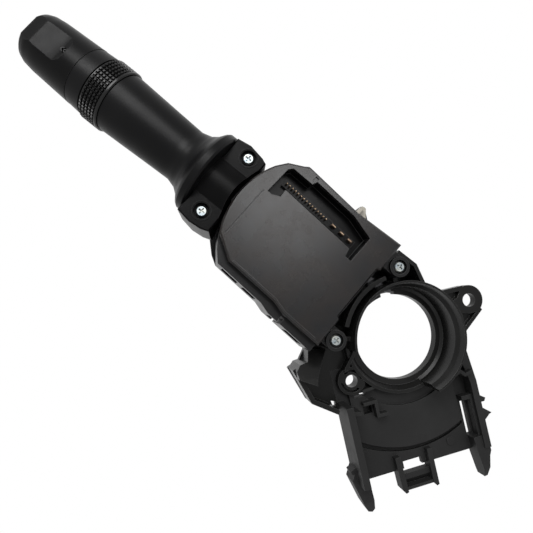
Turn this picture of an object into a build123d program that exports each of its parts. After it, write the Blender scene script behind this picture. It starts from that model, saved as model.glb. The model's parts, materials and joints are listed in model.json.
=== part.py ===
"""Combination stalk switch for a steering column, as separate named pieces.

Units are millimetres.  The row frame has its origin on the axis of the column
bore, at the lower face of the ring flange.  +Z runs along the bore towards the
cover and the connector, and the lever points towards -X.
"""
import math
import os

from build123d import *

# Column ring and bracket
BORE_R = 19.0
RING_OUTER_R = 24.9
RING_SEAT_R = 22.4
RING_TOP = 20.3
RING_LIP_T = 0.9
FLANGE_T = 4.0
RING_OPEN_FROM = 232.0
RING_OPEN_TO = 340.0
LOW_RING_TOP = 6.5
SIDE_ARC_IN_R = 26.8
SIDE_ARC_OUT_R = 28.6
SIDE_ARC_TOP = 17.0
PLATE_T = 2.5
EAR_HOLE = (16.3, 36.0)
EAR_HOLE_R = 3.1
EAR_T = 4.0
LOWER_HOLE = (-3.8, -28.6)
LOWER_HOLE_R = 2.7
LOWER_BOSS_R = 6.2
LOWER_BOSS_TOP = 6.0

# Receptacle tray for the partner switch, in its own U and W axes
TRAY_ANGLE = -36.0
TRAY_U0 = 8.0
TRAY_U1 = 58.5
TRAY_W0 = -33.0
TRAY_W1 = 30.5
TRAY_WALL = 3.0
TRAY_LEFT_TOP = 16.0
TRAY_RIGHT_TOP = 9.0
PLATEAU_R = 49.1
GROOVE_R = PLATEAU_R + 2.4
PLATEAU_TOP = 4.2

# Switch housing and cover
PIVOT = (-57.5, -2.0)
NOSE_R = 37.0
HOUSING_WALL = 1.8
HOUSING_FLOOR = 2.0
HOUSING_TOP = 19.0
HOUSING_ARC_GAP = 1.6
HOUSING_RIGHT_X = -(SIDE_ARC_OUT_R + HOUSING_ARC_GAP)
COVER_T = 2.0
COVER_TOP = 24.0
COVER_UNDER = COVER_TOP - COVER_T
MOUTH_HALF_W = 13.2
MOUTH_TOP = 16.5
COVER_SCREWS = ((-24.0, 19.5), (-25.0, -21.6))
POST_R = 4.3
POST_TOP = 14.0
SCREW_HEAD_R = 2.6
SCREW_HEAD_T = 1.7
SCREW_SHANK_R = 1.45
SCREW_LENGTH = 9.0

# Connector
SHROUD_BOTTOM = 15.0
SHROUD_FLOOR = 1.2
SHROUD_WALL = 1.2
PIN_ROW_Y = 13.4
SIGNAL_PINS = 15
SIGNAL_X0 = -82.3
SIGNAL_PITCH = 1.55
SIGNAL_SIDE = 0.7
POWER_XS = (-56.3, -51.7, -47.3)
POWER_SIDE = (2.2, 0.9)
PIN_TOP = 20.6
BOARD_T = 1.0

# Turn mechanism
PIVOT_PIN_R = 2.5
RUN_GAP = 0.05
SIDE_GAP = 0.15
CARRIER_Z0 = 4.2
CARRIER_Z1 = 13.8
HUB_R = 6.0
CHEEK_IN = 4.35
CHEEK_T = 2.6
CHEEK_END_X = -86.0
PULL_X = -80.0
PULL_Z = 10.0
HINGE_PIN_R = 1.5
SHANK_HALF_W = CHEEK_IN - SIDE_GAP
SHANK_HALF_H = 3.4
TAIL_REACH = 10.0
TAIL_R = 1.5
SLIDER_SLOT_GAP = 0.06
DETENT_R = 17.0
DETENT_ANGLE = 12.0
PLUNGER_R = 2.0
PLUNGER_Z = 9.0
PLUNGER_TRAVEL = 0.8
TURN_PEG_REACH = 14.0
TURN_PEG_R = 1.5
PAWL_PIN = (-37.0, 7.5)
PAWL_PIN_R = 1.4
PAWL_Z0 = 6.6
PAWL_Z1 = 9.4
PAWL_TIP = (-16.4, 12.2)

# Lever, measured along its own axis from LEVER_START
LEVER_START = (-70.0, -2.454, 14.407)
LEVER_DIR = (-0.9927, -0.0338, -0.1157)
NECK_GAP = 0.35
NECK_SLOPE = 0.12
FLANGE_S = NOSE_R + 1.0
FLANGE_R = 19.0
TUBE_END_S = FLANGE_S + 49.8
TUBE_BORE_R = 11.0
CORE_DISC_S = TUBE_END_S - 13.8
RING_S0 = TUBE_END_S + 0.15
RING_S1 = RING_S0 + 10.05
COLLAR_S0 = RING_S1 + 0.1
COLLAR_S1 = COLLAR_S0 + 7.3
KNOB_S0 = COLLAR_S1 + 0.15
KNOB_S1 = KNOB_S0 + 28.25
TUBE_R = 13.7
COLLAR_R = 13.9
KNOB_R = 13.5
KNURL_R = 14.5
CORE_R = 6.0
SHAFT_R = 2.0
CAP_SCREWS = ((PIVOT[0] - NOSE_R - 6.3, 10.2), (PIVOT[0] - NOSE_R - 6.0, -18.6))
PAD_H = 9.2
CAP_SPLIT_H = 5.2

LEVER_N = Vector(*LEVER_DIR) * (-LEVER_DIR[2]) + Vector(0, 0, 1)
LEVER_FRAME = Plane(origin=LEVER_START, x_dir=LEVER_DIR, z_dir=LEVER_N.normalized())
TRAY_FRAME = Rot(0, 0, TRAY_ANGLE)


def prism(points, z0, z1):
    """Straight prism on a plan outline."""
    return Pos(0, 0, z0) * extrude(Polygon(*points, align=None), amount=z1 - z0, dir=(0, 0, 1))


def block(x0, x1, y0, y1, z0, z1):
    """Box given by its limits."""
    size = Box(x1 - x0, y1 - y0, z1 - z0)
    return Pos((x0 + x1) / 2, (y0 + y1) / 2, (z0 + z1) / 2) * size


def post(x, y, r, z0, z1):
    """Upright cylinder given by its foot and top."""
    return Pos(x, y, (z0 + z1) / 2) * Cylinder(r, z1 - z0)


def wall(points, thickness, z0, z1):
    """Upright wall of even thickness that follows a line in plan."""
    strip = trace(Polyline(*points), line_width=thickness)
    return Pos(0, 0, z0) * extrude(strip, amount=z1 - z0, dir=(0, 0, 1))


def spun(profile, start=0.0, arc=360.0):
    """Body turned about +Z from a radius and height outline."""
    face = Plane.XZ * Polygon(*profile, align=None)
    return Rot(0, 0, start) * revolve(face, Axis.Z, arc)


def lathe(profile):
    """Body turned about the lever axis from a station and radius outline."""
    return revolve(Polygon(*profile, align=None), Axis.X)


def rod(s0, s1, r, y=0.0, z=0.0):
    """Round bar along the local X axis."""
    return Pos((s0 + s1) / 2, y, z) * Rot(0, 90, 0) * Cylinder(r, s1 - s0)


def cross_bar(x, z, r, y0, y1):
    """Round bar along Y."""
    return Pos(x, (y0 + y1) / 2, z) * Rot(90, 0, 0) * Cylinder(r, y1 - y0)


def polar(centre, r, degrees):
    """Point at a radius and angle about a centre in plan."""
    angle = math.radians(degrees)
    return (centre[0] + r * math.cos(angle), centre[1] + r * math.sin(angle))


def cross_recess(r, depth):
    """Cross-shaped drive recess, pointing down from z=0."""
    arm = Pos(0, 0, -depth / 2) * Box(r * 1.9, r * 0.42, depth)
    return arm + Rot(0, 0, 90) * arm


def pan_screw(head_r, head_t, shank_r, length):
    """Pan-head screw with a cross recess, its head seat at z=0."""
    crown = head_t * 0.5
    outline = [(0, -length), (shank_r, -length), (shank_r, 0), (head_r, 0), (head_r, crown)]
    body = spun(outline + [(head_r * 0.72, head_t), (0, head_t)])
    return body - Pos(0, 0, head_t) * cross_recess(head_r * 0.55, head_t * 0.6)


def nose_outline(radius, y_top, y_low):
    """Points of the rounded left end, from the upper corner down."""
    a_top = math.asin((y_top - PIVOT[1]) / radius)
    a_low = math.asin((y_low - PIVOT[1]) / radius)
    steps = 14
    points = []
    for i in range(steps + 1):
        a = a_top + (a_low - a_top) * i / steps
        points.append((PIVOT[0] - radius * math.cos(a), PIVOT[1] + radius * math.sin(a)))
    return points


def cover_outline(inset=0.0):
    """Plan outline of the cover, shrunk by an inset."""
    i = inset
    nose = nose_outline(NOSE_R - i, 14.5 - i * 0.4, -20.5 + i * 0.4)
    low = [(-79.2 + i * 0.3, -26.7 + i), (-55.0, -26.9 + i), (-49.3, -28.3 + i)]
    right = [(HOUSING_RIGHT_X - i, -28.3 + i), (HOUSING_RIGHT_X - i, 25.9 - i)]
    top = [(-52.8, 23.5 - i), (-79.4 + i * 0.3, 23.9 - i), (-87.5 + i * 0.7, 19.0 - i * 0.7)]
    return nose + low + right + top


def housing_outline():
    """Plan outline of the housing, wider than the cover along both sides."""
    nose = nose_outline(NOSE_R, 19.0, -26.0)
    low = [(-81.8, -29.9), (-58.3, -30.3), (-53.4, -31.6)]
    right = [(HOUSING_RIGHT_X, -31.9), (HOUSING_RIGHT_X, 27.2)]
    top = [(-52.8, 24.9), (-80.0, 25.4)]
    return nose + low + right + top


def connector_outline():
    """Plan outline of the opening over the connector."""
    left = [(-86.2, 4.6), (-85.8, 16.8), (-84.3, 18.6), (-74.5, 19.0), (-73.6, 21.2)]
    right = [(-53.0, 21.2), (-42.1, 18.7), (-42.3, 6.2), (-45.3, 6.2), (-46.0, 9.7)]
    return left + right + [(-81.1, 9.8), (-80.8, 6.4), (-84.1, 4.6)]


def ear():
    """Screw ear with a boss round its hole and a pocket on either side."""
    outline = [(3.5, 23.0), (3.9, 31.2), (9.5, 38.8), (24.2, 37.0), (24.6, 23.0), (14.0, 15.0)]
    lug = prism(outline, 0, EAR_T) + post(*EAR_HOLE, 6.9, 0, EAR_T)
    pocket_1 = prism([(5.8, 27.5), (6.2, 31.0), (10.2, 36.2), (11.2, 33.0), (10.4, 28.4)], 1.4, EAR_T)
    pocket_2 = prism([(22.8, 24.5), (22.6, 34.2), (20.6, 31.4), (17.6, 29.2)], 1.4, EAR_T)
    return lug - pocket_1 - pocket_2


def shield():
    """Stepped guard wall at the low side between the housing and the tray."""
    floor = [(-29.8, -27.0), (-28.4, -32.4), (-26.6, -39.0), (-28.0, -40.2), (-28.6, -42.6)]
    floor = floor + [(-13.6, -47.4), (-1.4, -43.6), (4.0, -39.0), (4.0, -24.0), (-20.0, -18.0)]
    base = prism(floor, 0, PLATE_T)
    outer = wall([(-26.4, -38.6), (-27.4, -41.6), (-13.2, -46.3), (-1.6, -42.5)], 2.0, 0, 12.0)
    slit = prism([(-4.3, -41.0), (-2.6, -39.9), (-1.0, -41.3), (-2.2, -42.0)], -1, 20)
    return base + outer + chute() - slit


def chute():
    """Bowed slope that rises from the housing's corner to the guard's outer wall."""
    plan = [(-29.0, -31.2), (-22.6, -25.8), (-20.6, -33.7), (-19.0, -38.1), (-17.4, -40.2)]
    plan = plan + [(-25.0, -43.4), (-28.0, -41.6), (-28.4, -38.6), (-26.4, -35.4)]
    side = [(-5, 0), (-5, 7.0), (1.5, 10.6), (6.0, 13.4), (10.0, 15.6), (15.5, 17.2), (15.5, 0)]
    slope = extrude(Plane.XZ * Polygon(*side, align=None), amount=14.0, dir=(0, 1, 0), both=True)
    return prism(plan, 0, 20) & (Pos(-24.5, -28.7, 0) * Rot(0, 0, -75.2) * slope)


def lower_boss():
    """Boss round the lower screw hole with two part-ring slots."""
    boss = post(*LOWER_HOLE, LOWER_BOSS_R, 0, LOWER_BOSS_TOP)
    groove = post(*LOWER_HOLE, LOWER_BOSS_R - 1.2, LOWER_BOSS_TOP - 2.6, LOWER_BOSS_TOP)
    groove = groove - post(*LOWER_HOLE, LOWER_BOSS_R - 2.3, 0, LOWER_BOSS_TOP)
    bridge = Pos(*LOWER_HOLE, LOWER_BOSS_TOP) * Rot(0, 0, 25) * Box(20, 4.0, 8)
    return boss - (groove - bridge)


def ring_posts():
    """Posts that the housing's ears are screwed to, with webs to the ring."""
    posts = post(*COVER_SCREWS[0], POST_R, 0, POST_TOP) + post(*COVER_SCREWS[1], POST_R, 0, POST_TOP)
    web_1 = wall([COVER_SCREWS[0], polar((0, 0), 23.9, 141)], 1.8, 0, POST_TOP)
    web_2 = wall([COVER_SCREWS[1], polar((0, 0), 23.9, 221)], 1.8, 0, POST_TOP)
    gusset = wall([(-27.6, 25.4), (-18.0, 26.2), (-9.6, 22.6)], 1.6, 0, 16.5)
    strut = wall([(-9.4, -27.4), (-11.2, -19.8), (-12.8, -16.0)], 1.4, 0, 8.0)
    return posts + web_1 + web_2 + gusset + strut


def column_ring():
    """Ring round the steering column with its flange, ear, bosses and guard."""
    tall = [(BORE_R, 0), (RING_OUTER_R, 0), (RING_OUTER_R, RING_TOP)]
    tall = tall + [(RING_OUTER_R - RING_LIP_T, RING_TOP), (RING_OUTER_R - 1.2, 16.8)]
    tall = tall + [(RING_SEAT_R, 15.2), (RING_SEAT_R, FLANGE_T + 0.8), (21.2, FLANGE_T), (BORE_R, FLANGE_T)]
    low = [(BORE_R, 0), (RING_OUTER_R, 0), (RING_OUTER_R, LOW_RING_TOP)]
    low = low + [(RING_OUTER_R - 1.4, LOW_RING_TOP), (21.6, FLANGE_T), (BORE_R, FLANGE_T)]
    gap = RING_OPEN_TO - RING_OPEN_FROM
    body = spun(tall, RING_OPEN_TO, 360 - gap) + spun(low, RING_OPEN_FROM, gap)
    left = [(HOUSING_RIGHT_X + 0.3, -27.0), (HOUSING_RIGHT_X + 0.3, 25.2), (-18.0, 26.8)]
    plate = prism(left + [(-9.0, 23.0), (-9.0, -24.0)], 0, PLATE_T)
    arc = [(SIDE_ARC_IN_R, 0), (SIDE_ARC_OUT_R, 0), (SIDE_ARC_OUT_R, SIDE_ARC_TOP)]
    side = spun(arc + [(SIDE_ARC_IN_R, SIDE_ARC_TOP)], 152, 58)
    body = body + plate + side + ring_posts() + ear() + shield() + lower_boss()
    body = body - post(0, 0, BORE_R, -1, FLANGE_T + 1)
    body = body - post(*EAR_HOLE, EAR_HOLE_R, -1, 9) - post(*LOWER_HOLE, LOWER_HOLE_R, -1, 20)
    for x, y in COVER_SCREWS:
        body = body - post(x, y, SCREW_SHANK_R, HOUSING_TOP - SCREW_LENGTH - 2, POST_TOP + 1)
    x0 = HOUSING_RIGHT_X - 0.8
    window = prism([(x0, 6.0), (x0, 11.0), (-14, 18.0), (-14, 7.0)], PAWL_Z0 - 1.0, PAWL_Z1 + 1.0)
    notch = Rot(0, 0, 143) * block(BORE_R - 2.0, BORE_R + 1.2, -3.2, 3.2, -1, FLANGE_T + 1)
    return body - window - notch - tray_zone()


def tray_zone():
    """Plan area that belongs to the tray, outside the ring."""
    zone = TRAY_FRAME * block(TRAY_U0, 90, TRAY_W0, TRAY_W1 + 9, -2, 40)
    keep = post(0, 0, RING_OUTER_R, -3, 41) + post(*LOWER_HOLE, LOWER_BOSS_R, -3, 41)
    return zone - keep


def tray_walls():
    """Side walls of the tray, in U and W."""
    left = block(22.0, TRAY_U1 - 2, TRAY_W0, TRAY_W0 + TRAY_WALL, 0, TRAY_LEFT_TOP)
    right = block(27.0, TRAY_U1 - 1, TRAY_W1 - TRAY_WALL, TRAY_W1, 0, TRAY_RIGHT_TOP)
    w1 = TRAY_W1
    sweep = [(TRAY_U0, w1 - 6.9), (27.4, w1 - TRAY_WALL), (27.4, w1), (13.3, w1 - 1.4), (TRAY_U0, w1 - 2.9)]
    return left + right + prism(sweep, 0, TRAY_RIGHT_TOP)


def tray_barbs():
    """Outward snap barbs on both walls, in U and W."""
    w0 = TRAY_W0
    w1 = TRAY_W1
    barbs = prism([(49.0, w0 + 0.5), (50.4, w0 - 2.6), (51.6, w0 - 2.2), (52.4, w0 + 0.5)], 3.0, 9.0)
    barbs = barbs + prism([(33.6, w1 - 0.5), (36.0, w1 + 2.9), (37.4, w1 + 2.1), (37.4, w1 - 0.5)], 2.0, 8.0)
    return barbs + prism([(39.2, w1 - 0.5), (43.2, w1 + 4.3), (43.6, w1 + 3.1), (46.4, w1 - 0.5)], 2.0, 8.0)


def tray_legs():
    """Two tapering lead-in legs past the tray's open edge, in U and W."""
    u = TRAY_U1
    w = TRAY_W0
    left = [(u - 8.5, w), (u - 3.9, w - 2.6), (u - 0.9, w - 1.8), (u + 7.5, w + 0.4), (u + 11.7, w + 2.1)]
    left = left + [(u + 12.5, w + 4.0), (u + 11.1, w + 5.2), (u - 1.5, w + 4.8), (u - 8.5, w + 2.8)]
    w = TRAY_W1
    right = [(u - 6.5, w), (u - 6.5, w - 6.9), (u - 0.3, w - 6.4), (u + 10.5, w - 5.0), (u + 12.6, w - 4.6)]
    right = right + [(u + 12.3, w - 3.2), (u + 3.0, w - 1.0), (u + 1.0, w)]
    legs = prism(left, 0.0, 9.0) + prism(right, 0.0, 8.0)
    return legs - Pos(u + 13, 0, 10.5) * Rot(0, 28, 0) * Box(14, 90, 9)


def tray_latch():
    """Latch frame in the middle of the tray's edge, in U and W."""
    u = TRAY_U1
    low = [(u - 6.9, -13.8), (u + 7.7, -13.4), (u + 9.4, -12.2), (u + 9.0, -10.9), (u - 6.9, -11.4)]
    high = [(u - 6.9, 1.6), (u + 7.9, 1.4), (u + 9.9, 2.6), (u + 9.5, 3.8), (u - 6.9, 3.8)]
    side = [(u + 1.9, 0), (u + 8.5, 0), (u + 8.5, 5.2), (u + 7.2, 5.2), (u + 7.0, 1.6)]
    side = side + [(u + 4.4, 3.6), (u + 1.9, 3.6)]
    ramp = extrude(Plane.XZ * Polygon(*side, align=None), amount=14.4, dir=(0, 1, 0))
    return prism(low, 0, 6.0) + prism(high, 0, 6.0) + Pos(0, -12.0, 0) * ramp


def tray_clip():
    """Clip channel, cross bars, hook and pads on the tray's floor, in U and W."""
    w = TRAY_W1
    box = block(33.0, 53.6, w - 3.9, w - 2.1, 0, 7.0)
    box = box + block(33.0, 35.0, w - 7.9, w - 2.5, 0, 7.0)
    hook = wall([(24.6, -23.0), (24.6, -17.4), (31.0, -17.4), (31.0, -13.0)], 1.4, 0, 8.0)
    bar = wall([(24.4, TRAY_W0 + 0.2), (26.2, TRAY_W0 + 6.6)], 1.6, 0, 14.0)
    bracket = wall([(23.1, 12.5), (21.8, 18.5), (20.5, 22.5), (22.6, 24.3), (21.6, w - 2.4)], 1.3, 0, 12.0)
    pads = post(47.6, -25.8, 1.9, 0, 3.0) + post(52.5, 15.0, 1.9, 0, 3.0)
    return box + hook + bar + bracket + pads


def receptacle_tray():
    """Open tray beyond the ring that takes the partner switch."""
    w = TRAY_W1
    floor = block(TRAY_U0, TRAY_U1, TRAY_W0, w, 0, PLATE_T)
    edge = [(TRAY_U0 - 1, w - 3.1), (TRAY_U0 - 1, 60), (27.4, 60), (27.4, w), (13.3, w - 1.4)]
    raised = post(0, 0, PLATEAU_R, 0, PLATEAU_TOP) & block(20.0, TRAY_U1, -27.5, 21.5, 0, PLATEAU_TOP)
    raised = raised - post(0, 0, 30.6, 0, 9)
    web = wall([(19.6, -21.5), (18.9, -14.7)], 1.2, 0, 6.0)
    body = floor - prism(edge, -1, 5) + raised + web
    body = body + tray_walls() + tray_barbs() + tray_legs() + tray_latch() + tray_clip()
    groove = post(0, 0, GROOVE_R, PLATE_T - 1.8, 9) - post(0, 0, PLATEAU_R, 0, 9)
    body = body - (groove & block(36.0, TRAY_U1 - 3.6, -29.6, w - 8.0, 0, PLATE_T + 0.01))
    body = body - block(36.4, 52.0, w - 6.9, w - 4.7, -1, 9)
    body = body - block(TRAY_U1 - 3.1, TRAY_U1 + 1.7, -9.4, -0.6, -1, 9)
    body = body - block(26.6, 30.0, -22.6, -18.6, 1.0, 9) - block(20.8, 21.9, -25.3, -19.1, -1, 9)
    keep = post(0, 0, RING_OUTER_R, -3, 41) + post(*LOWER_HOLE, LOWER_BOSS_R, -3, 41)
    return TRAY_FRAME * body - keep


def housing_ear(x, y):
    """Screw ear on the housing with a raised collar round the screw head."""
    inner_x = HOUSING_RIGHT_X - 1.5
    tab = post(x, y, POST_R, POST_TOP, HOUSING_TOP)
    tab = tab + block(inner_x, x, y - POST_R, y + POST_R, POST_TOP, HOUSING_TOP)
    collar = post(x, y, POST_R, HOUSING_TOP, HOUSING_TOP + 2.0)
    collar = collar - post(x, y, SCREW_HEAD_R + 0.45, HOUSING_TOP, HOUSING_TOP + 3)
    return tab + collar - post(x, y, SCREW_SHANK_R + 0.2, 0, 40)


def switch_housing():
    """Tub that holds the mechanism, with a rounded nose open to the lever."""
    tub = prism(housing_outline(), 0, HOUSING_TOP)
    tub = tub - prism(cover_outline(HOUSING_WALL), HOUSING_FLOOR, HOUSING_TOP + 1)
    x0 = PIVOT[0] - NOSE_R
    y0 = PIVOT[1] - MOUTH_HALF_W
    tub = tub - block(x0 - 4, x0 + 8.5, y0, y0 + 2 * MOUTH_HALF_W, HOUSING_FLOOR, MOUTH_TOP)
    pockets = [(-79.0, -70.5), (-67.5, -60.5), (-51.8, -46.8), (-42.5, -33.5)]
    for x0, x1 in pockets:
        tub = tub - block(x0, x1, -33.0, -29.0, 5.0, 15.5)
    tub = tub - block(-48.6, -46.9, -33.0, -29.0, -1, HOUSING_TOP + 1)
    boss = post(*PIVOT, 5.2, 0, CARRIER_Z0 - 0.3)
    seat = block(-41.5, -34.5, -14.0, 10.0, 0, 4.9)
    rails = block(-66.5, -48.5, -22.4, -20.55, 0, 6.6) + block(-61.0, -48.5, -11.45, -9.9, 0, 6.6)
    pawl_foot = post(*PAWL_PIN, 2.8, 0, PAWL_Z0 - 0.2)
    tub = tub + boss + seat + rails + pawl_foot
    tub = tub - post(*PIVOT, PIVOT_PIN_R, 0.8, 20) - post(*PAWL_PIN, PAWL_PIN_R, 1.0, 20)
    tub = tub - prism([(-36, 5.0), (-36, 10.2), (-28, 13.2), (-28, 5.4)], PAWL_Z0 - 0.8, PAWL_Z1 + 0.8)
    gusset = prism([(-53.0, 24.0), (-51.4, 31.6), (-49.2, 31.8), (-40.4, 25.4)], 6.0, 9.5)
    tub = tub + gusset
    for x, y in COVER_SCREWS:
        tub = tub + housing_ear(x, y)
    return tub


def housing_cover():
    """Cover plate with a short skirt, the connector opening and a scribed line."""
    plate = prism(cover_outline(), HOUSING_TOP, COVER_TOP)
    plate = plate - prism(cover_outline(HOUSING_WALL), HOUSING_TOP - 1, COVER_UNDER)
    step = [(-31.6, -13.8), (-28.0, -16.6), (-28.0, 12.6), (-31.6, 11.4)]
    plate = plate - prism(step, HOUSING_TOP - 1, COVER_TOP + 1)
    top = plate.faces().sort_by(Axis.Z)[-1]
    plate = chamfer(top.outer_wire().edges(), 0.7)
    plate = plate - prism(connector_outline(), COVER_UNDER - 1, COVER_TOP + 1)
    scribe = block(-87.8, -87.3, -19.4, 3.6, COVER_TOP - 0.35, COVER_TOP + 1)
    line = [(-78.0, -25.6), (-55.4, -25.8), (-49.6, -27.2), (-33.0, -27.2)]
    rim = wall(line, 0.8, COVER_TOP, COVER_TOP + 0.5)
    key = block(-75.4, -73.8, 20.2, 22.6, COVER_TOP - 0.8, COVER_TOP + 1)
    return plate + rim - scribe - key


def connector_shroud():
    """Open socket under the cover's opening, with the pins' floor."""
    outer = offset(Polygon(*connector_outline(), align=None), SHROUD_WALL, kind=Kind.INTERSECTION)
    outer = outer & Polygon(*cover_outline(HOUSING_WALL), align=None)
    body = Pos(0, 0, SHROUD_BOTTOM) * extrude(outer, amount=COVER_UNDER - SHROUD_BOTTOM, dir=(0, 0, 1))
    recess_z = SHROUD_BOTTOM + SHROUD_FLOOR
    body = body - prism(connector_outline(), recess_z, COVER_UNDER + 1)
    bar = block(-83.6, -44.8, PIN_ROW_Y - 1.6, PIN_ROW_Y + 1.6, recess_z, recess_z + 1.8)
    return body + bar - signal_pins() - power_pins()


def signal_pins():
    """Row of small square contact pins standing on the board."""
    group = []
    h = SIGNAL_SIDE / 2
    z0 = HOUSING_FLOOR + BOARD_T
    for i in range(SIGNAL_PINS):
        x = SIGNAL_X0 + i * SIGNAL_PITCH
        pin = block(x - h, x + h, PIN_ROW_Y - h, PIN_ROW_Y + h, z0, PIN_TOP)
        group.append(chamfer(pin.faces().sort_by(Axis.Z)[-1].edges(), 0.2))
    return Compound(children=group)


def power_pins():
    """Three wider blade contacts beside the small pins."""
    group = []
    z0 = HOUSING_FLOOR + BOARD_T
    for x in POWER_XS:
        half_x = POWER_SIDE[0] / 2
        half_y = POWER_SIDE[1] / 2
        blade = block(x - half_x, x + half_x, PIN_ROW_Y - half_y, PIN_ROW_Y + half_y, z0, PIN_TOP)
        group.append(chamfer(blade.faces().sort_by(Axis.Z)[-1].edges(), 0.3))
    return Compound(children=group)


def contact_board():
    """Printed board on the housing floor, cut round the bosses."""
    x1 = HOUSING_RIGHT_X - 3.8
    outline = [(-84.0, 6.0), (-84.0, 18.6), (-78.0, 21.0), (x1, 21.0), (x1, 10.8), (-42.4, 10.8)]
    outline = outline + [(-42.4, -9.0), (-46.0, -9.6), (-68.0, -9.6), (-72.0, -20.0), (-84.0, -20.0)]
    board = prism(outline, HOUSING_FLOOR, HOUSING_FLOOR + BOARD_T)
    return board - post(*PIVOT, 5.5, 0, 9)


def contact_strips():
    """Fixed brass tracks under the turn slider, laid on the housing floor."""
    group = []
    for i in range(3):
        y = -18.4 + i * 2.4
        group.append(block(-65.0, -50.0, y - 0.7, y + 0.7, HOUSING_FLOOR, HOUSING_FLOOR + 0.5))
    return Compound(children=group)


def pivot_pin():
    """Steel pin that the turn carrier swings on."""
    return post(*PIVOT, PIVOT_PIN_R, 0.8, 14.4)


def pawl_pin():
    """Steel pin that the cancelling pawl swings on."""
    return post(*PAWL_PIN, PAWL_PIN_R, 1.0, PAWL_Z1 + 1.2)


def detent_block():
    """Curved track with three notches that the detent plunger rides on."""
    x1 = HOUSING_RIGHT_X - HOUSING_WALL - 3.0
    body = block(PIVOT[0] + 12, x1, PIVOT[1] - 6.2, PIVOT[1] + 6.2, 4.9, 12.8)
    body = body - post(*PIVOT, DETENT_R, 0, 20)
    for k in (-1, 0, 1):
        x, y = polar(PIVOT, DETENT_R - 0.45, k * DETENT_ANGLE)
        body = body - post(x, y, 1.5, 0, 20)
    return body


def turn_carrier():
    """Carrier that swings on the pivot pin and carries the lever's hinge."""
    px, py = PIVOT
    hub = post(px, py, HUB_R, CARRIER_Z0, CARRIER_Z1)
    out = CHEEK_IN + CHEEK_T
    arm = [(CHEEK_END_X, py - out), (-66, py - out), (px, py - HUB_R), (px, py + HUB_R)]
    arm = arm + [(-66, py + out), (CHEEK_END_X, py + out)]
    body = hub + prism(arm, CARRIER_Z0, CARRIER_Z1)
    body = body - block(CHEEK_END_X - 1, px - HUB_R - 0.4, py - CHEEK_IN, py + CHEEK_IN, 0, 20)
    x1 = px + DETENT_R - 3.4
    nose = block(px, x1, py - 3.4, py + 3.4, PLUNGER_Z - 3.4, PLUNGER_Z + 3.4)
    bore = rod(px + HUB_R, x1 + 1, PLUNGER_R + RUN_GAP, py, PLUNGER_Z)
    side = block(px - 2.2, px + 2.2, py - TURN_PEG_REACH - 2.2, py, 7.8, CARRIER_Z1)
    peg = post(px, py - TURN_PEG_REACH, TURN_PEG_R, 4.6, 8.0)
    body = body + nose + side + peg - bore
    return body - post(px, py, PIVOT_PIN_R + RUN_GAP, 0, 30) - hinge_pin()


def hinge_pin():
    """Cross pin that the lever tips on."""
    out = CHEEK_IN + CHEEK_T
    return cross_bar(PULL_X, PULL_Z, HINGE_PIN_R, PIVOT[1] - out, PIVOT[1] + out)


def detent_plunger():
    """Round-nosed plunger held against the detent track."""
    x0 = PIVOT[0] + HUB_R + 3.4
    tip = PIVOT[0] + DETENT_R - 0.12
    outline = [(x0, 0), (x0, PLUNGER_R), (tip - 1.3, PLUNGER_R), (tip - 0.35, 1.1), (tip, 0)]
    return Pos(0, PIVOT[1], PLUNGER_Z) * lathe(outline)


def detent_spring():
    """Coil spring behind the plunger, short enough for the plunger's travel."""
    x0 = PIVOT[0] + HUB_R
    x1 = PIVOT[0] + HUB_R + 3.35 - PLUNGER_TRAVEL
    coil = Helix(pitch=0.95, height=x1 - x0 - 0.5, radius=1.35)
    start = coil.position_at(0)
    profile = Plane(origin=start, z_dir=coil.tangent_at(0)) * Rectangle(0.38, 0.38)
    wire = sweep(profile, path=coil)
    return Pos(x0 + 0.25, PIVOT[1], PLUNGER_Z) * Rot(0, 90, 0) * wire


def turn_slider():
    """Slider that the carrier's peg drives over the fixed tracks."""
    px = PIVOT[0]
    y0 = PIVOT[1] - TURN_PEG_REACH
    body = block(px - 6.0, px + 6.0, -20.4, -11.6, 3.6, 6.9)
    half = TURN_PEG_R + SLIDER_SLOT_GAP
    slot = block(px - half, px + half, y0 - 2.4, y0 + 2.4, 4.2, 9)
    hollow = block(px - 5.0, px + 5.0, -18.8, -13.2, 4.6, 9) - block(px - 3.0, px + 3.0, -20, -12, 0, 10)
    return body - slot - hollow


def turn_wipers():
    """Sprung brass fingers under the turn slider."""
    group = []
    for i in range(3):
        y = -18.4 + i * 2.4
        z0 = HOUSING_FLOOR + 0.55
        outline = [(-4.5, 3.6), (4.5, 3.6), (4.5, 3.2), (1.2, 3.2), (0.4, z0)]
        outline = outline + [(-0.4, z0), (-1.2, 3.2), (-4.5, 3.2)]
        finger = extrude(Plane.XZ * Polygon(*outline, align=None), amount=1.0, dir=(0, 1, 0))
        group.append(Pos(PIVOT[0], y - 0.5, 0) * finger)
    return Compound(children=group)


def beam_slider():
    """Slider between the carrier's cheeks that the lever's tail lifts and lowers."""
    py = PIVOT[1]
    x0 = PULL_X + TAIL_REACH - 2.4
    x1 = PIVOT[0] - HUB_R - 0.7
    body = block(x0, x1, py - SHANK_HALF_W, py + SHANK_HALF_W, 5.4, 12.6)
    half = TAIL_R + SLIDER_SLOT_GAP
    slot = block(x0 - 1, PULL_X + TAIL_REACH + 2.6, py - 9, py + 9, PULL_Z - half, PULL_Z + half)
    return body - slot


def beam_wiper():
    """Brass contact plate on the end of the beam slider."""
    py = PIVOT[1]
    x1 = PIVOT[0] - HUB_R - 0.7
    return block(x1, x1 + 0.22, py - 2.6, py + 2.6, 6.6, 11.4)


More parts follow.
